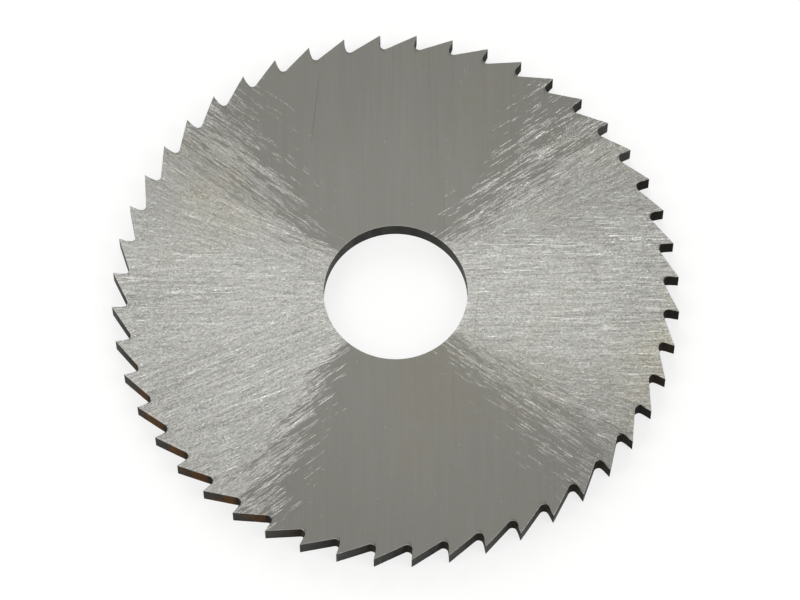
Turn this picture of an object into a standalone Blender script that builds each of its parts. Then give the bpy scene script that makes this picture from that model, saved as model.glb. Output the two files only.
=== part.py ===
"""Plain metal slitting saw, lying flat with its teeth pointing clockwise as seen from above.

The real saw is one piece: a disc blanked from high-speed steel sheet, with the teeth cut round
its rim, the bore ground to fit an arbor and both sides ground hollow. Lengths are in metres.
The origin is on the axis of the bore, level with the lowest points of the saw.
"""

import math

import bmesh
import bpy
from mathutils import Matrix, Vector

MM = 0.001

# The disc. The sides are ground hollow: the saw is thickest at the tips, so that the teeth cut
# a slot wider than the disc behind them, and thins evenly to a flat hub that the collars clamp.
DIAMETER = 63 * MM
THICKNESS = 2.5 * MM
BORE_DIAMETER = 16 * MM
HUB_DIAMETER = 32 * MM
HOLLOW_DEPTH = 0.06 * MM

# The teeth. Each has a straight cutting face, a round gullet and a straight back.
TOOTH_COUNT = 48
TOOTH_DEPTH = 1.75 * MM
RAKE_ANGLE = math.radians(7)
GULLET_RADIUS = 0.55 * MM

# How finely the round parts are divided.
GULLET_STEPS = 8
CIRCLE_STEPS = 96
SHARP_ANGLE = math.radians(25)

STEEL_COLOUR = (0.38, 0.38, 0.36, 1.0)
STEEL_ROUGHNESS = 0.32


def clear_scene():
    """Remove whatever the open file holds."""
    for scene_object in list(bpy.data.objects):
        bpy.data.objects.remove(scene_object, do_unlink=True)


def turned(point, angle):
    """The point turned about the axis of the saw, counter-clockwise as seen from above."""
    return Matrix.Rotation(angle, 2) @ point


def circle(diameter):
    """Points evenly spaced round a circle on the axis."""
    rim_point = Vector((diameter / 2, 0))
    return [turned(rim_point, math.tau * step / CIRCLE_STEPS) for step in range(CIRCLE_STEPS)]


def gullet_centre(tip, inward, into_gullet):
    """The centre of the gullet's arc.

    The arc touches the cutting face, so its centre is on a line beside the face, one gullet
    radius away. It also touches the root circle from outside, so the centre is one gullet
    radius beyond that circle. It is where the line first meets the circle of centres.
    """
    beside_tip = tip + into_gullet * GULLET_RADIUS
    centre_distance = DIAMETER / 2 - TOOTH_DEPTH + GULLET_RADIUS
    half_chord = beside_tip.dot(inward)
    beyond = beside_tip.length_squared - centre_distance**2
    return beside_tip + inward * (-half_chord - math.sqrt(half_chord**2 - beyond))


def tooth_pitch():
    """One pitch of the outline, clockwise from the tip on +X and short of the next tip.

    The cutting face leans under its tip by the rake angle. The back is the line from the next
    tip that touches the gullet's arc on the side of the saw's axis.
    """
    tip = Vector((DIAMETER / 2, 0))
    next_tip = turned(tip, -math.tau / TOOTH_COUNT)
    inward = Vector((-math.cos(RAKE_ANGLE), math.sin(RAKE_ANGLE)))
    into_gullet = Vector((-math.sin(RAKE_ANGLE), -math.cos(RAKE_ANGLE)))
    centre = gullet_centre(tip, inward, into_gullet)

    to_centre = centre - next_tip
    half_angle = math.asin(GULLET_RADIUS / to_centre.length)
    back_length = math.sqrt(to_centre.length_squared - GULLET_RADIUS**2)
    back_foot = next_tip + turned(to_centre.normalized(), half_angle) * back_length

    arc_start = -into_gullet * GULLET_RADIUS
    arc_end = back_foot - centre
    swept = math.atan2(arc_end.y, arc_end.x) - math.atan2(arc_start.y, arc_start.x)
    swept %= math.tau
    arc = [centre + turned(arc_start, swept * step / GULLET_STEPS) for step in range(GULLET_STEPS + 1)]
    return [tip] + arc


def tooth_outline():
    """The closed outline of the teeth, one pitch after another, clockwise."""
    pitch_points = tooth_pitch()
    pitch_angle = math.tau / TOOTH_COUNT
    return [turned(point, -pitch_angle * tooth) for tooth in range(TOOTH_COUNT) for point in pitch_points]


def side_height(radius):
    """Half the thickness at a radius: flat over the hub, then rising evenly to the tips."""
    hub_radius = HUB_DIAMETER / 2
    rise = max(0.0, radius - hub_radius) / (DIAMETER / 2 - hub_radius)
    return THICKNESS / 2 - HOLLOW_DEPTH * (1 - rise)


def add_loop(bm, points, side):
    """Lay a closed loop on the upper side, 1, or the lower, -1, and return its vertices and edges."""
    verts = [bm.verts.new((point.x, point.y, side * side_height(point.length))) for point in points]
    edges = [bm.edges.new((verts[index - 1], vert)) for index, vert in enumerate(verts)]
    return verts, edges


def join_loops(bm, loop, other):
    """Faces from each edge of a loop to the same edge of another."""
    for index in range(len(loop)):
        bm.faces.new((loop[index - 1], loop[index], other[index], other[index - 1]))


def add_side(bm, side):
    """One ground side: triangles from the teeth in to the hub, then a flat ring in to the bore."""
    rim, rim_edges = add_loop(bm, tooth_outline(), side)
    hub, hub_edges = add_loop(bm, circle(HUB_DIAMETER), side)
    bore = add_loop(bm, circle(BORE_DIAMETER), side)[0]
    bmesh.ops.triangle_fill(bm, use_beauty=True, edges=rim_edges + hub_edges)
    join_loops(bm, hub, bore)
    return rim, bore


def build_saw():
    """Both ground sides, joined by the walls of the teeth and of the bore."""
    bm = bmesh.new()
    upper_rim, upper_bore = add_side(bm, 1)
    lower_rim, lower_bore = add_side(bm, -1)
    join_loops(bm, upper_rim, lower_rim)
    join_loops(bm, upper_bore, lower_bore)
    bmesh.ops.recalc_face_normals(bm, faces=bm.faces)

    mesh = bpy.data.meshes.new("slitting_saw")
    bm.to_mesh(mesh)
    bm.free()
    mesh.shade_smooth()
    mesh.set_sharp_from_angle(angle=SHARP_ANGLE)
    return mesh


def ground_steel():
    """Bright ground high-speed steel."""
    material = bpy.data.materials.new("ground_steel")
    material.use_nodes = True
    shader = material.node_tree.nodes["Principled BSDF"]
    shader.inputs["Base Color"].default_value = STEEL_COLOUR
    shader.inputs["Metallic"].default_value = 1.0
    shader.inputs["Roughness"].default_value = STEEL_ROUGHNESS
    material.diffuse_color = STEEL_COLOUR
    return material


clear_scene()
saw = bpy.data.objects.new("slitting_saw", build_saw())
saw.data.materials.append(ground_steel())
saw.location.z = THICKNESS / 2
bpy.context.scene.collection.objects.link(saw)
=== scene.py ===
"""A plain metal slitting saw lying on white paper: ground sides, dark teeth and a dark bore."""

import math

import bpy
import numpy as np
from mathutils import Matrix, Vector


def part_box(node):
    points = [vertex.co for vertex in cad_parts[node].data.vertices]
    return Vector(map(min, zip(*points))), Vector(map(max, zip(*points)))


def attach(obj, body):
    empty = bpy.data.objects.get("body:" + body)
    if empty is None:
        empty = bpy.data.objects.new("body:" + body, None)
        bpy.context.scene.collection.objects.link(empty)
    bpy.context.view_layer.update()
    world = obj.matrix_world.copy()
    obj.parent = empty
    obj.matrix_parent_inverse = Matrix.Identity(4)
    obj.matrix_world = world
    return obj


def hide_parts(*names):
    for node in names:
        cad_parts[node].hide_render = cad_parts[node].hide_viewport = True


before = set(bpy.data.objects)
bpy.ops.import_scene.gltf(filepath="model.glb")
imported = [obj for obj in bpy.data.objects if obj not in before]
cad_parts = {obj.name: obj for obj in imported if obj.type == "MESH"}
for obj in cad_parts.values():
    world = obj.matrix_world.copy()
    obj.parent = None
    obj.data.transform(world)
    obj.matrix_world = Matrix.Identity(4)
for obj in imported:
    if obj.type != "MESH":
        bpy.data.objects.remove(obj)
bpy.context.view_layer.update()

# The camera stands well back and looks steeply down, which keeps the view almost free of
# perspective. It looks along +Y in a plan of its own, which is turned about the saw's axis by
# the small angle that brings a tooth tip exactly onto the frame's +X.
MM = 0.001
IMAGE_WIDTH = 800
FOCAL_PIXELS = 4988
SENSOR_WIDTH = 36
VIEW_TURN = math.radians(-2.91)
VIEW_ELEVATION = math.radians(67.73)
VIEW_ROLL = math.radians(-0.28)
VIEW_DISTANCE = 555.7 * MM
CLIP_DISTANCES = (0.01, 10)
AIM = Vector((0.48 * MM, 0.04 * MM, 0))
PLAN = Matrix.Rotation(VIEW_TURN, 4, "Z")


def place_camera():
    """Put the camera on its line of sight: its axes are the plan's right, up and back, rolled."""
    back = Vector((0, -math.cos(VIEW_ELEVATION), math.sin(VIEW_ELEVATION)))
    right = Vector((1, 0, 0))
    axes = Matrix((right, back.cross(right), back)).transposed().to_4x4()
    roll = Matrix.Rotation(VIEW_ROLL, 4, "Z")
    camera = bpy.data.objects.new("camera", bpy.data.cameras.new("camera"))
    camera.data.sensor_width = SENSOR_WIDTH
    camera.data.lens = FOCAL_PIXELS / IMAGE_WIDTH * SENSOR_WIDTH
    camera.data.clip_start, camera.data.clip_end = CLIP_DISTANCES
    camera.matrix_world = PLAN @ Matrix.Translation(AIM + back * VIEW_DISTANCE) @ axes @ roll
    bpy.context.scene.collection.objects.link(camera)
    bpy.context.scene.camera = camera


place_camera()

# The floor is a broad sheet of white paper, level with the lowest points of the saw. Most of
# its white is an even glow that only the camera and glossy surfaces see, so shadows stay faint.
FLOOR_HALF = 2.5
PAPER_COLOUR = (0.95, 0.95, 0.95, 1)
PAPER_GLOW = 0.76


def add_node(tree, kind, inputs=(), **settings):
    """Add a node, set its options, and give each named or numbered input a value or a link."""
    node = tree.nodes.new(kind)
    for name, value in settings.items():
        setattr(node, name, value)
    for name, value in dict(inputs).items():
        if isinstance(value, bpy.types.NodeSocket):
            tree.links.new(value, node.inputs[name])
        else:
            node.inputs[name].default_value = value
    return node


def calculate(tree, operation, *values, clamp=False):
    """The output of a Math node that works on the values, which are numbers or sockets."""
    inputs = dict(enumerate(values))
    return add_node(tree, "ShaderNodeMath", inputs, operation=operation, use_clamp=clamp).outputs[0]


def white_paper():
    """Diffuse white paper, mixed with plain white light on the rays of the camera and of gloss."""
    material = bpy.data.materials.new("white_paper")
    material.use_nodes = True
    tree = material.node_tree
    tree.nodes.clear()
    paper = add_node(tree, "ShaderNodeBsdfDiffuse", {"Color": PAPER_COLOUR})
    glow = add_node(tree, "ShaderNodeEmission", {"Color": (1, 1, 1, 1), "Strength": 1})
    path = add_node(tree, "ShaderNodeLightPath").outputs
    seen = calculate(tree, "MAXIMUM", path["Is Camera Ray"], path["Is Glossy Ray"])
    share = calculate(tree, "MULTIPLY", seen, PAPER_GLOW)
    mix = add_node(tree, "ShaderNodeMixShader", {0: share, 1: paper.outputs[0], 2: glow.outputs[0]})
    add_node(tree, "ShaderNodeOutputMaterial", {"Surface": mix.outputs[0]})
    return material


floor_mesh = bpy.data.meshes.new("floor")
floor_signs = ((-1, -1), (1, -1), (1, 1), (-1, 1))
floor_corners = [(x * FLOOR_HALF, y * FLOOR_HALF, 0) for x, y in floor_signs]
floor_mesh.from_pydata(floor_corners, [], [(0, 1, 2, 3)])
floor_mesh.materials.append(white_paper())
floor = bpy.data.objects.new("floor", floor_mesh)
bpy.context.scene.collection.objects.link(floor)

# The light comes from a wide soft box behind the saw, one at each side towards the camera and a
# faint one overhead, in a pale room that is grey above. Ground steel mirrors the box behind it
# wherever its marks run level in the photograph's view, and the grey wherever they run steeply.
ROOM_LOW = (1.0, 1.0, 1.0, 1)
ROOM_HIGH = (0.350, 0.343, 0.312, 1)
ROOM_TURNS_GREY = (0.30, 0.62)
BACK_BOX = {"size": (0.85, 0.50), "toward": (-0.14, 0.84, 0.52), "distance": 1.0, "brightness": 4.55}
TOP_BOX = {"size": (0.60, 0.50), "toward": (0.0, -0.30, 0.95), "distance": 1.0, "brightness": 0.4}
SIDE_BOXES = {"size": (0.50, 0.50), "distance": 1.0, "brightness": 3.2}
SIDES = {"left_box": (-0.64, -0.25, 0.73), "right_box": (0.64, -0.25, 0.73)}


def components(tree, vector):
    """The x, y and z of a vector."""
    return add_node(tree, "ShaderNodeSeparateXYZ", {0: vector}).outputs


def light_room():
    """The room's light by the height of the direction looked in: white low down, grey overhead."""
    world = bpy.data.worlds.new("room")
    world.use_nodes = True
    bpy.context.scene.world = world
    tree = world.node_tree
    tree.nodes.clear()
    _, _, height = components(tree, add_node(tree, "ShaderNodeTexCoord").outputs["Generated"])
    ramp = add_node(tree, "ShaderNodeValToRGB", {0: height})
    ramp.color_ramp.interpolation = "EASE"
    low, high = ramp.color_ramp.elements
    low.position, high.position = ROOM_TURNS_GREY
    low.color, high.color = ROOM_LOW, ROOM_HIGH
    background = add_node(tree, "ShaderNodeBackground", {"Color": ramp.outputs["Color"], "Strength": 1})
    add_node(tree, "ShaderNodeOutputWorld", {"Surface": background.outputs[0]})


def hang_soft_box(name, size, toward, distance, brightness):
    """A rectangular lamp that faces the saw from a direction in the camera's plan.

    Brightness 1 is that of white paper. The lamp's power is pi times its area times that.
    """
    lamp = bpy.data.lights.new(name, "AREA")
    lamp.shape = "RECTANGLE"
    lamp.size, lamp.size_y = size
    lamp.energy = math.pi * lamp.size * lamp.size_y * brightness
    box = bpy.data.objects.new(name, lamp)
    away = Vector(toward).normalized()
    turn = away.to_track_quat("Z", "Y").to_matrix().to_4x4()
    box.matrix_world = PLAN @ Matrix.Translation(away * distance) @ turn
    bpy.context.scene.collection.objects.link(box)


light_room()
hang_soft_box("back_box", **BACK_BOX)
hang_soft_box("top_box", **TOP_BOX)
for name, toward in SIDES.items():
    hang_soft_box(name, toward=toward, **SIDE_BOXES)

# The saw is one disc of hardened high-speed steel. Raked teeth with round gullets were cut round
# its rim, and both sides were ground hollow, from full thickness at the tips to a flat hub.
saw_low, saw_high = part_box("slitting_saw")
TIP_RADIUS = saw_high.x
HALF_THICKNESS = (saw_high.z - saw_low.z) / 2
BORE_RADIUS = 8 * MM
HUB_RADIUS = 16 * MM
HOLLOW_DEPTH = 0.06 * MM
TOOTH_COUNT = 48
TOOTH_DEPTH = 1.75 * MM
RAKE = math.radians(7)
GULLET_RADIUS = 0.55 * MM
PITCH = math.tau / TOOTH_COUNT

# How the mesh is divided: the steps round one pitch, how far inside the gullets the root ring
# lies, and how far the rings' points are turned to keep in line with the outline's. Edges that
# bend by more than the sharp angle are shaded crisp.
FACE_STEPS = 6
GULLET_STEPS = 14
BACK_STEPS = 14
ROOT_MARGIN = 0.6 * MM
SPOKE_LEAN = math.radians(1.2)
SHARP_ANGLE = math.radians(30)

# The ground edges are hardly broken, and unevenly. A high power makes the worn spots rare.
EDGE_BREAK = 0.018 * MM
EDGE_WEAR = 0.045 * MM
WEAR_POWER = 8
EDGE_SEED = 4

# The disc's materials, in the order in which it gets them.
GROUND_SIDE = 0
TOOTH_WALL = 1
BORE_WALL = 2


def pitch_outline():
    """One pitch of the teeth as complex numbers x + iy, clockwise from the tip on +X.

    The cutting face is the line tip + t (face foot - tip), the gullet is centre + radius times
    e to the i angle, and the back is the line from the gullet's end to the next tip, which
    touches the gullet's circle. The circle touches the face's line and the root circle.
    """
    tip = complex(TIP_RADIUS)
    next_tip = tip * np.exp(-1j * PITCH)
    inward = -np.exp(-1j * RAKE)
    into_gullet = inward * 1j
    beside_tip = tip + into_gullet * GULLET_RADIUS
    centre_distance = TIP_RADIUS - TOOTH_DEPTH + GULLET_RADIUS
    half_chord = (beside_tip * inward.conjugate()).real
    beyond = abs(beside_tip) ** 2 - centre_distance**2
    centre = beside_tip - inward * (half_chord + math.sqrt(half_chord**2 - beyond))
    face_foot = centre - into_gullet * GULLET_RADIUS

    to_centre = centre - next_tip
    back_length = math.sqrt(abs(to_centre) ** 2 - GULLET_RADIUS**2)
    half_angle = math.asin(GULLET_RADIUS / abs(to_centre))
    back_foot = next_tip + to_centre / abs(to_centre) * np.exp(1j * half_angle) * back_length

    swept = np.angle((back_foot - centre) / (face_foot - centre)) % math.tau
    face = np.linspace(tip, face_foot, FACE_STEPS, endpoint=False)
    gullet = centre + (face_foot - centre) * np.exp(1j * swept * np.linspace(0, 1, GULLET_STEPS + 1))
    back = np.linspace(back_foot, next_tip, BACK_STEPS + 1)[1:-1]
    return np.concatenate((face, gullet, back))


def side_height(points):
    """Half the thickness at each point: flat over the hub, then rising evenly with the radius."""
    rise = np.clip((np.abs(points) - HUB_RADIUS) / (TIP_RADIUS - HUB_RADIUS), 0, 1)
    return HALF_THICKNESS - HOLLOW_DEPTH * (1 - rise)


def set_in(outline, distance):
    """The outline moved inwards.

    Each corner slides along the sum of the normals of its two edges, divided by one plus their
    dot product, so that both edges move by the distance.
    """
    step = np.roll(outline, -1) - outline
    normal_after = 1j * step / np.abs(step)
    normal_before = np.roll(normal_after, 1)
    agreement = 1 + (normal_before * normal_after.conjugate()).real
    return outline - distance * (normal_before + normal_after) / agreement


def saw_grid(outline):
    """The saw's surface, as a closed section carried round the outline.

    Each column is one point of the outline, and each row one line of the section: bore wall, bore
    edge, hub edge, root ring, rim edge and rim wall, then the same rows mirrored below.
    """
    random = np.random.default_rng(EDGE_SEED)
    edge_break = EDGE_BREAK + EDGE_WEAR * random.random(outline.size) ** WEAR_POWER
    spokes = np.exp(1j * (SPOKE_LEAN - math.tau * np.arange(outline.size) / outline.size))
    root_ring = TIP_RADIUS - TOOTH_DEPTH - ROOT_MARGIN
    radii = (BORE_RADIUS, BORE_RADIUS + EDGE_BREAK, HUB_RADIUS, root_ring)
    rings = [spokes * radius for radius in radii]
    plan_rows = np.stack(rings + [set_in(outline, edge_break), outline])
    height_rows = side_height(plan_rows)
    height_rows[0] -= EDGE_BREAK
    height_rows[-1] -= edge_break
    plan_rows = np.concatenate((plan_rows, plan_rows[::-1]))
    height_rows = np.concatenate((height_rows, -height_rows[::-1])) + HALF_THICKNESS
    return np.stack((plan_rows.real, plan_rows.imag, height_rows), axis=-1)


def grid_faces(rows, columns):
    """Quads between neighbouring rows and columns, both of which close on themselves."""
    row, column = np.meshgrid(np.arange(rows), np.arange(columns), indexing="ij")
    next_row = (row + 1) % rows
    next_column = (column + 1) % columns
    corners = ((row, column), (row, next_column), (next_row, next_column), (next_row, column))
    return np.stack([r * columns + c for r, c in corners], axis=-1).reshape(-1, 4)


def length_round(outline):
    """How far each column's two edges are round the rim, counted in pitches along the outline."""
    lengths = np.abs(np.roll(outline, -1) - outline)
    ends = np.cumsum(lengths)
    return np.stack((ends - lengths, ends)) * TOOTH_COUNT / ends[-1]


def build_disc(outline):
    """The disc as one closed mesh, with a map of the length round the rim and of the section's row."""
    grid = saw_grid(outline)
    rows, columns = grid.shape[:2]
    mesh = bpy.data.meshes.new("saw_disc")
    mesh.from_pydata(grid.reshape(-1, 3), [], grid_faces(rows, columns))

    start, end = length_round(outline)
    row = np.repeat(np.arange(rows), columns)
    across = np.stack((row, row, row + 1, row + 1), axis=-1)
    along = np.tile(np.stack((start, end, end, start), axis=-1), (rows, 1))
    rim_map = mesh.uv_layers.new(name="rim_map")
    rim_map.data.foreach_set("uv", np.stack((along, across), axis=-1).astype(np.float32).ravel())

    row_material = np.full(rows, GROUND_SIDE, np.int32)
    row_material[rows // 2 - 1] = TOOTH_WALL
    row_material[rows - 1] = BORE_WALL
    mesh.polygons.foreach_set("material_index", np.repeat(row_material, columns))
    mesh.shade_smooth()
    mesh.set_sharp_from_angle(angle=SHARP_ANGLE)
    disc = bpy.data.objects.new("saw_disc", mesh)
    bpy.context.scene.collection.objects.link(disc)
    return disc


teeth = (pitch_outline() * np.exp(-1j * PITCH * np.arange(TOOTH_COUNT))[:, None]).ravel()
disc = build_disc(teeth)
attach(disc, "root")
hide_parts("slitting_saw")

# Both sides were ground in straight strokes that run outwards, in groups turned by steps round the
# disc: level ones to the left and right of the photograph's view, steep ones above and below, and
# slanting ones between. Each later group lies over the one before, as far as its reach from level.
STEEL_COLOUR = (0.625, 0.625, 0.615, 1)
STAIN_COLOUR = (0.62, 0.605, 0.53, 1)
STEEL_SHADE = 0.97
STEEL_ROUGHNESS = 0.28
STEEL_ANISOTROPY = 0.9

# Each group's values for the four quarters, counted counter-clockwise from the upper right: the
# angles at which it lies and is lit and its reach, in degrees, how many millimetres the point of
# its wedge is raised, and how ragged the wedge's edge is. Strokes that no group reaches are steep.
STEEP_ANGLES = (-90, -90, 90, -90)
STROKE_GROUPS = (
    {
        "lie": (34, -38, 37, -35),
        "lit": (-22, -41, 34, -26),
        "reach": (46, 65, 67, 44),
        "rise": (0, -11, -4, 0),
        "ragged": (1.2, 0.9, 0.8, 1.1),
    },
    {
        "lie": (27, -22, 23, -22),
        "lit": (-29, -27, 4, -18),
        "reach": (33, 22, 53, 33),
        "rise": (0, 3, 0, 0),
        "ragged": (0.8, 0.8, 0.8, 0.8),
    },
    {
        "lie": (0, 0, 0, 0),
        "lit": (0, 0, 0, 0),
        "reach": (17, 13, 13, 26),
        "rise": (2, 0, 0, 0),
        "ragged": (0.8, 1.0, 1.0, 0.8),
    },
)
GROUPS_CENTRE = (-1.2 * MM, 0.3 * MM, 0)

# Strokes of these lengths and widths make the edges ragged, each by so many degrees.
EDGE_STROKES = (
    {"length": 16 * MM, "width": 0.8 * MM, "degrees": 8},
    {"length": 7 * MM, "width": 0.22 * MM, "degrees": 9},
    {"length": 2.8 * MM, "width": 0.09 * MM, "degrees": 24},
    {"length": 1.0 * MM, "width": 0.09 * MM, "degrees": 13},
)
FADE_DEGREES = 7

# A few scratches cross the strokes or stand almost upright, wherever they are.
CROSS_ANGLE = math.radians(52)
UPRIGHT_ANGLE = math.radians(84)

# Each row of strokes is shifted along by up to this many strokes.
ROW_SHIFT = 9.0


def rotated(tree, vector, angle):
    """The vector turned about Z by the angle, counter-clockwise as seen from above."""
    inputs = {"Vector": vector, "Angle": angle}
    return add_node(tree, "ShaderNodeVectorRotate", inputs, rotation_type="Z_AXIS").outputs[0]


def strokes_group():
    """Straight strokes in rows that lie at an angle: a random colour and a swell for each stroke.

    Turned by the angle, a place has a length along the strokes and one across them. The row is the
    whole part of the second over the stroke's width. Each row starts at a random point, and the
    stroke is the whole part of the first over its length from there. Row, stroke and seed give the
    random colour. The swell is 4 f (1 - f), where f is the rest: 0 at the ends, 1 in the middle.
    """
    group = bpy.data.node_groups.new("strokes", "ShaderNodeTree")
    group.interface.new_socket(name="Place", in_out="INPUT", socket_type="NodeSocketVector")
    for name in ("Angle", "Length", "Width", "Seed"):
        group.interface.new_socket(name=name, in_out="INPUT", socket_type="NodeSocketFloat")
    group.interface.new_socket(name="Random", in_out="OUTPUT", socket_type="NodeSocketColor")
    group.interface.new_socket(name="Swell", in_out="OUTPUT", socket_type="NodeSocketFloat")
    given = group.nodes.new("NodeGroupInput").outputs
    back_turn = calculate(group, "MULTIPLY", given["Angle"], -1.0)
    along, across, _ = components(group, rotated(group, given["Place"], back_turn))
    row = calculate(group, "FLOOR", calculate(group, "DIVIDE", across, given["Width"]))
    row_place = add_node(group, "ShaderNodeCombineXYZ", {0: row, 1: given["Seed"]})
    row_noise = add_node(group, "ShaderNodeTexWhiteNoise", {"Vector": row_place.outputs[0]})
    lengths = calculate(group, "DIVIDE", along, given["Length"])
    lengths = calculate(group, "MULTIPLY_ADD", row_noise.outputs["Value"], ROW_SHIFT, lengths)
    stroke = calculate(group, "FLOOR", lengths)
    rest = calculate(group, "SUBTRACT", lengths, stroke)
    swell = calculate(group, "MULTIPLY", calculate(group, "SUBTRACT", 1.0, rest), rest)
    swell = calculate(group, "MULTIPLY", swell, 4.0)
    cell = add_node(group, "ShaderNodeCombineXYZ", {0: row, 1: stroke, 2: given["Seed"]})
    noise = add_node(group, "ShaderNodeTexWhiteNoise", {"Vector": cell.outputs[0]})
    add_node(group, "NodeGroupOutput", {0: noise.outputs["Color"], 1: swell})
    return group


STROKES = strokes_group()


def lay_strokes(tree, place, angle, length, width, seed):
    """Two random values from 0 to 1 that are even along each stroke, and its swell."""
    inputs = {"Place": place, "Angle": angle, "Length": length, "Width": width, "Seed": seed}
    node = add_node(tree, "ShaderNodeGroup", inputs, node_tree=STROKES)
    first, second, _ = components(tree, node.outputs[0])
    return first, second, node.outputs[1]


def strokes(tree, place, angle, length, width, seed):
    """Two values, each between -0.5 and 0.5 and random for each stroke, that fade at its ends."""
    first, second, swell = lay_strokes(tree, place, angle, length, width, seed)
    centred = [calculate(tree, "SUBTRACT", value, 0.5) for value in (first, second)]
    return [calculate(tree, "MULTIPLY", value, swell) for value in centred]


def rare_strokes(tree, place, angle, length, width, seed, share):
    """The swell of the few strokes that make up the share, and 0 elsewhere."""
    first, _, swell = lay_strokes(tree, place, angle, length, width, seed)
    return calculate(tree, "MULTIPLY", calculate(tree, "LESS_THAN", first, share), swell)


def total(tree, *terms):
    """The sum of the terms, each of which is a pair of a socket and its factor."""
    result = 0.0
    for value, factor in terms:
        result = calculate(tree, "MULTIPLY_ADD", value, factor, result)
    return result


def mixed(tree, factor, first, second):
    """The first colour turned into the second by the factor."""
    node = add_node(tree, "ShaderNodeMix", {0: factor, 6: first, 7: second}, data_type="RGBA")
    return node.outputs[2]


def between(tree, value, low, high):
    """How far the value has gone from low to high, easing in and out, from 0 to 1."""
    inputs = {0: value, 1: low, 2: high}
    return add_node(tree, "ShaderNodeMapRange", inputs, interpolation_type="SMOOTHSTEP").outputs[0]


def shaded(tree, colour, shade):
    """The colour times the shade, which is a plain factor."""
    inputs = {0: colour, "Scale": shade}
    return add_node(tree, "ShaderNodeVectorMath", inputs, operation="SCALE").outputs[0]


def clouds(tree, place, scale, detail):
    """Soft noise round 0.5, with about as many clouds to the metre as the scale."""
    inputs = {"Vector": place, "Scale": scale, "Detail": detail}
    return add_node(tree, "ShaderNodeTexNoise", inputs).outputs["Fac"]


def cubed(tree, value):
    """The value's cube, which keeps most strokes nearly even and leaves a few strong ones."""
    return calculate(tree, "MULTIPLY", calculate(tree, "MULTIPLY", value, value), value)


def by_quarter(tree, rightward, upward, values):
    """The value for the place's quarter, counted counter-clockwise from the upper right."""
    upper_right, upper_left, lower_left, lower_right = values
    upper = calculate(tree, "MULTIPLY_ADD", rightward, upper_right - upper_left, upper_left)
    lower = calculate(tree, "MULTIPLY_ADD", rightward, lower_right - lower_left, lower_left)
    difference = calculate(tree, "SUBTRACT", upper, lower)
    return calculate(tree, "MULTIPLY_ADD", upward, difference, lower)


def stroke_angles(tree, place):
    """The angle at which the strokes lie at a place in the camera's plan, and the one that is lit.

    Both are steep at first. Where the place's own angle from level, seen from a point that is
    raised or lowered and made ragged by strokes of four sizes, is less than a group's reach, they
    become the group's angles. The one that lies does so at once, the one that is lit gradually.
    """
    outward = add_node(tree, "ShaderNodeVectorMath", {0: place, 1: GROUPS_CENTRE}, operation="SUBTRACT")
    across, up, _ = components(tree, outward.outputs[0])
    rightward = calculate(tree, "GREATER_THAN", across, 0.0)
    upward = calculate(tree, "GREATER_THAN", up, 0.0)
    level_part = calculate(tree, "ABSOLUTE", across)
    steep_part = calculate(tree, "ABSOLUTE", up)
    lie = math.radians(90)
    lit = by_quarter(tree, rightward, upward, np.radians(STEEP_ANGLES).tolist())
    seed = 1.0
    for group in STROKE_GROUPS:
        angles = [np.radians(group[name]).tolist() for name in ("lie", "lit", "reach")]
        group_lie, group_lit, reach = [by_quarter(tree, rightward, upward, values) for values in angles]
        raggedness = by_quarter(tree, rightward, upward, group["ragged"])
        rise = by_quarter(tree, rightward, upward, [height * MM for height in group["rise"]])
        above_point = calculate(tree, "SUBTRACT", steep_part, rise)
        from_level = calculate(tree, "ARCTAN2", above_point, level_part)
        ragged = 0.0
        for size in EDGE_STROKES:
            stroke, _ = strokes(tree, place, group_lie, size["length"], size["width"], seed)
            ragged = calculate(tree, "MULTIPLY_ADD", stroke, math.radians(size["degrees"]), ragged)
            seed += 1
        inside = calculate(tree, "SUBTRACT", reach, from_level)
        inside = calculate(tree, "MULTIPLY_ADD", ragged, raggedness, inside)
        covered = calculate(tree, "GREATER_THAN", inside, 0.0)
        lie = calculate(tree, "MULTIPLY_ADD", covered, calculate(tree, "SUBTRACT", group_lie, lie), lie)
        faded = calculate(tree, "MULTIPLY", inside, 1 / math.radians(FADE_DEGREES), clamp=True)
        lit = calculate(tree, "MULTIPLY_ADD", faded, calculate(tree, "SUBTRACT", group_lit, lit), lit)
    return lie, lit


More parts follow.
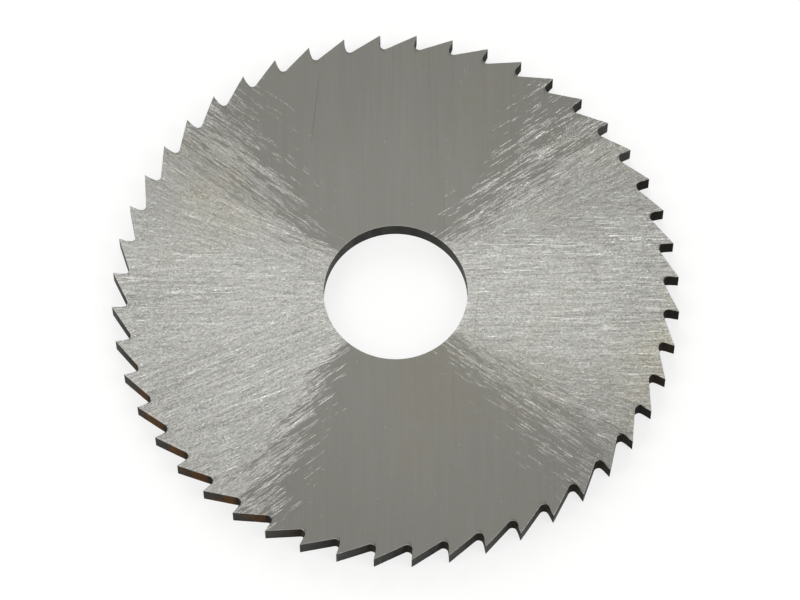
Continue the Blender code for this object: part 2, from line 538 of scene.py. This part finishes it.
def steel_colour(tree, place, angle, lit):
    """Grey, darker towards the rim, faintly streaked and stained, with dark scratches and pale specks.

    The fine grain, and the few long lines of pale dots, are painted glints: they show as much as the
    lit angle there is level.
    """
    radius = add_node(tree, "ShaderNodeVectorMath", {0: place}, operation="LENGTH").outputs["Value"]
    to_rim = between(tree, radius, low=12 * MM, high=31 * MM)
    streak, _ = strokes(tree, place, angle, length=9 * MM, width=0.14 * MM, seed=21.0)
    wide_streak, _ = strokes(tree, place, angle, length=14 * MM, width=0.7 * MM, seed=22.0)
    cloud = clouds(tree, place, scale=90, detail=3)
    scratch = rare_strokes(tree, place, angle,
                           length=12 * MM, width=0.10 * MM, seed=23.0, share=0.007)
    cross = rare_strokes(tree, place, CROSS_ANGLE,
                         length=8 * MM, width=0.12 * MM, seed=24.0, share=0.0015)
    upright = rare_strokes(tree, place, UPRIGHT_ANGLE,
                           length=10 * MM, width=0.13 * MM, seed=25.0, share=0.002)
    speck = rare_strokes(tree, place, 0.0,
                         length=0.16 * MM, width=0.13 * MM, seed=26.0, share=0.0006)
    shade = total(tree, (to_rim, -0.11), (streak, 0.045), (wide_streak, 0.03), (cloud, 0.08),
                  (scratch, -0.10), (cross, -0.16), (upright, -0.18), (speck, 0.5))
    grain, _ = strokes(tree, place, angle, length=0.24 * MM, width=0.09 * MM, seed=27.0)
    hair, _ = strokes(tree, place, angle, length=2.6 * MM, width=0.085 * MM, seed=28.0)
    long_hair, _ = strokes(tree, place, angle, length=9 * MM, width=0.10 * MM, seed=30.0)
    line = rare_strokes(tree, place, angle,
                        length=10 * MM, width=0.12 * MM, seed=29.0, share=0.012)
    painted_glint_dots = calculate(tree, "MULTIPLY", line, calculate(tree, "ADD", grain, 0.4))
    painted_glints = total(tree, (grain, 0.70), (hair, 0.40), (long_hair, 0.15), (painted_glint_dots, 0.9))
    # Painted glints: the fine grain and the lines of pale dots are strong only where the lit angle is
    # level.
    painted_glint_share = calculate(tree, "POWER", calculate(tree, "COSINE", lit), 2.0)
    shade = calculate(tree, "MULTIPLY_ADD", painted_glints, painted_glint_share, shade)
    shade = calculate(tree, "ADD", shade, STEEL_SHADE)
    stain = clouds(tree, place, scale=45, detail=2)
    fleck = clouds(tree, place, scale=1100, detail=1)
    stained = calculate(tree, "MULTIPLY", between(tree, stain, low=0.52, high=0.75), 0.7)
    flecked = calculate(tree, "SUBTRACT", fleck, 0.45)
    stained = calculate(tree, "MULTIPLY_ADD", flecked, 1.1, stained, clamp=True)
    return shaded(tree, mixed(tree, stained, STEEL_COLOUR, STAIN_COLOUR), shade)


def new_material(name, constants):
    """A new material with its tree and its shader, whose named sockets get plain values."""
    material = bpy.data.materials.new(name)
    material.use_nodes = True
    shader = material.node_tree.nodes["Principled BSDF"]
    for socket_name, value in constants.items():
        shader.inputs[socket_name].default_value = value
    return material, material.node_tree, shader


def ground_steel():
    """Ground steel, whose gloss is drawn out across the strokes of the wheel."""
    constants = {"Metallic": 1, "Roughness": STEEL_ROUGHNESS, "Anisotropic": STEEL_ANISOTROPY}
    material, tree, shader = new_material("ground_steel", constants)
    place = rotated(tree, add_node(tree, "ShaderNodeTexCoord").outputs["Object"], -VIEW_TURN)
    angle, lit = stroke_angles(tree, place)
    tree.links.new(steel_colour(tree, place, angle, lit), shader.inputs["Base Color"])

    # Every stroke leans a little from its group and tilts a little to one side.
    band_lean, _ = strokes(tree, place, angle, length=16 * MM, width=1.1 * MM, seed=11.0)
    broad_lean, broad_tilt = strokes(tree, place, angle, length=7 * MM, width=0.35 * MM, seed=12.0)
    short_lean, short_tilt = strokes(tree, place, angle, length=0.3 * MM, width=0.09 * MM, seed=13.0)
    left_angle = calculate(tree, "ADD", angle, math.radians(2))
    left_lean, left_tilt = strokes(tree, place, left_angle,
                                   length=2.2 * MM, width=0.09 * MM, seed=14.0)
    right_angle = calculate(tree, "ADD", angle, math.radians(-3))
    glint = rare_strokes(tree, place, right_angle,
                         length=7 * MM, width=0.11 * MM, seed=15.0, share=0.015)
    lean = total(tree, (band_lean, math.radians(14)), (broad_lean, math.radians(12)),
                 (short_lean, math.radians(9)), (left_lean, math.radians(12)))
    tilt = total(tree, (broad_tilt, 0.05), (cubed(tree, short_tilt), 0.9),
                 (cubed(tree, left_tilt), 0.9), (glint, 0.08))
    heading = calculate(tree, "ADD", calculate(tree, "ADD", lit, lean), VIEW_TURN + math.pi / 2)
    tangent = rotated(tree, (1, 0, 0), heading)
    tree.links.new(tangent, shader.inputs["Tangent"])
    inputs = {0: tangent, 1: tilt, 2: add_node(tree, "ShaderNodeNewGeometry").outputs["Normal"]}
    leaning = add_node(tree, "ShaderNodeVectorMath", inputs, operation="MULTIPLY_ADD").outputs[0]
    unit = add_node(tree, "ShaderNodeVectorMath", {0: leaning}, operation="NORMALIZE")
    tree.links.new(unit.outputs[0], shader.inputs["Normal"])
    return material


disc.data.materials.append(ground_steel())

# The walls of the teeth were milled before the saw was hardened, and still have the dark skin of the
# furnace: greyer on the backs and brown on the teeth that ran hottest. The gullets are almost black,
# from that skin and from painted shade, and painted shade darkens the backs towards the gullets.
# Painted light: one tooth, and the gullet before it, are painted paler grey.
# The gullets' colours: the dark skin together with painted shade.
SHADED_GULLET_COLOUR = (0.0095, 0.0105, 0.0075, 1)
SHADED_GULLET_STAIN = (0.017, 0.010, 0.004, 1)
BACK_COLOUR = (0.050, 0.0495, 0.046, 1)
HEAT_COLOUR = (0.080, 0.034, 0.0055, 1)
# A paler grey painted on one tooth and its gullet as painted light.
PAINTED_LIGHT_COLOUR = (0.078, 0.076, 0.073, 1)
WALL_SHADE = 0.58
WALL_SHEEN = 0.015

# The hottest tooth and the one with painted light, and how many pitches away the effect ends and is
# full.
HEATED = {"tooth": 19.0, "ends": 5.5, "full": 1.0}
PAINTED_LIGHT_TOOTH = {"tooth": 43.4, "ends": 1.6, "full": 0.9}
PAINTED_LIGHT_SHARE = 0.8

# Where the back starts within its pitch, and the length of one pitch along the outline.
BACK_STARTS = float(length_round(teeth)[0][FACE_STEPS + GULLET_STEPS])
PITCH_LENGTH = float(np.abs(np.roll(teeth, -1) - teeth).sum()) / TOOTH_COUNT


def wall_place(tree):
    """The place on a wall, as its height and its length round, and that length in pitches."""
    length_map = add_node(tree, "ShaderNodeUVMap", uv_map="rim_map").outputs["UV"]
    pitches, _, _ = components(tree, length_map)
    _, _, height = components(tree, add_node(tree, "ShaderNodeTexCoord").outputs["Object"])
    length = calculate(tree, "MULTIPLY", pitches, PITCH_LENGTH)
    return add_node(tree, "ShaderNodeCombineXYZ", {0: height, 1: length}).outputs[0], pitches


def near(tree, pitches, tooth, ends, full):
    """How near a place is to a tooth: 0 from where the effect ends, 1 where it is full."""
    away = calculate(tree, "ABSOLUTE", calculate(tree, "SUBTRACT", pitches, tooth))
    return between(tree, away, ends, full)


def tooth_walls():
    """Dark skin with mill marks across the rim: how far along its pitch a place is sets its colour."""
    material, tree, shader = new_material("tooth_walls", {"Specular IOR Level": WALL_SHEEN})
    place, pitches = wall_place(tree)
    tooth = calculate(tree, "FLOOR", pitches)
    along = calculate(tree, "FRACT", pitches)
    tooth_noise = add_node(tree, "ShaderNodeTexWhiteNoise", {"W": tooth}, noise_dimensions="1D")
    luck = tooth_noise.outputs["Value"]
    cloud = clouds(tree, place, scale=900, detail=3)
    mark, _ = strokes(tree, place, 0.0, length=1.7 * MM, width=0.07 * MM, seed=31.0)
    groove, _ = strokes(tree, place, 0.0, length=4 * MM, width=0.30 * MM, seed=32.0)

    on_back = between(tree, along, low=BACK_STARTS - 0.02, high=BACK_STARTS + 0.10)
    to_tip = between(tree, along, low=BACK_STARTS, high=1.0)
    heat = near(tree, pitches, **HEATED)
    blaze = total(tree, (heat, 1.0), (luck, -0.55), (to_tip, -1.0), (cloud, 1.6))
    brown = calculate(tree, "MULTIPLY", between(tree, blaze, low=0.55, high=1.35), on_back)
    cool = calculate(tree, "MULTIPLY_ADD", heat, -0.4, 1.0)
    # Painted shade: the grey of the backs fades towards the gullet.
    clear_of_gullet_shade = calculate(tree, "MULTIPLY_ADD", to_tip, 0.65, 0.35)
    grey = calculate(tree, "MULTIPLY", calculate(tree, "MULTIPLY", on_back, clear_of_gullet_shade), cool)
    # Painted light on one tooth and the gullet before it.
    painted_light = calculate(tree, "MULTIPLY", near(tree, pitches, **PAINTED_LIGHT_TOOTH), PAINTED_LIGHT_SHARE)
    colour = mixed(tree, luck, SHADED_GULLET_COLOUR, SHADED_GULLET_STAIN)
    colour = mixed(tree, grey, colour, BACK_COLOUR)
    colour = mixed(tree, brown, colour, HEAT_COLOUR)
    colour = mixed(tree, painted_light, colour, PAINTED_LIGHT_COLOUR)
    shade = total(tree, (mark, 0.35), (groove, 0.2), (cloud, 0.6), (luck, 0.25))
    shade = calculate(tree, "ADD", shade, WALL_SHADE)
    tree.links.new(shaded(tree, colour, shade), shader.inputs["Base Color"])
    roughness = calculate(tree, "MULTIPLY_ADD", mark, 0.2, 0.5)
    tree.links.new(roughness, shader.inputs["Roughness"])
    return material


disc.data.materials.append(tooth_walls())

# The wall of the bore was ground to size, and is coloured dark, with rings of fine marks.
BORE_COLOUR = (0.027, 0.0265, 0.022)
BORE_SHADE = -0.5
BORE_SHEEN = 0.03


def bore_wall():
    """Dark ground steel with marks that run round the bore."""
    material, tree, shader = new_material("bore_wall", {"Specular IOR Level": BORE_SHEEN})
    place, _ = wall_place(tree)
    ring, _ = strokes(tree, place, math.pi / 2, length=16 * MM, width=0.07 * MM, seed=41.0)
    cloud = clouds(tree, place, scale=130, detail=4)
    shade = calculate(tree, "ADD", total(tree, (ring, 0.6), (cloud, 3.0)), BORE_SHADE)
    tree.links.new(shaded(tree, BORE_COLOUR, shade), shader.inputs["Base Color"])
    roughness = calculate(tree, "MULTIPLY_ADD", ring, 0.2, 0.45)
    tree.links.new(roughness, shader.inputs["Roughness"])
    return material


disc.data.materials.append(bore_wall())

bpy.context.scene.view_settings.view_transform = "Standard"
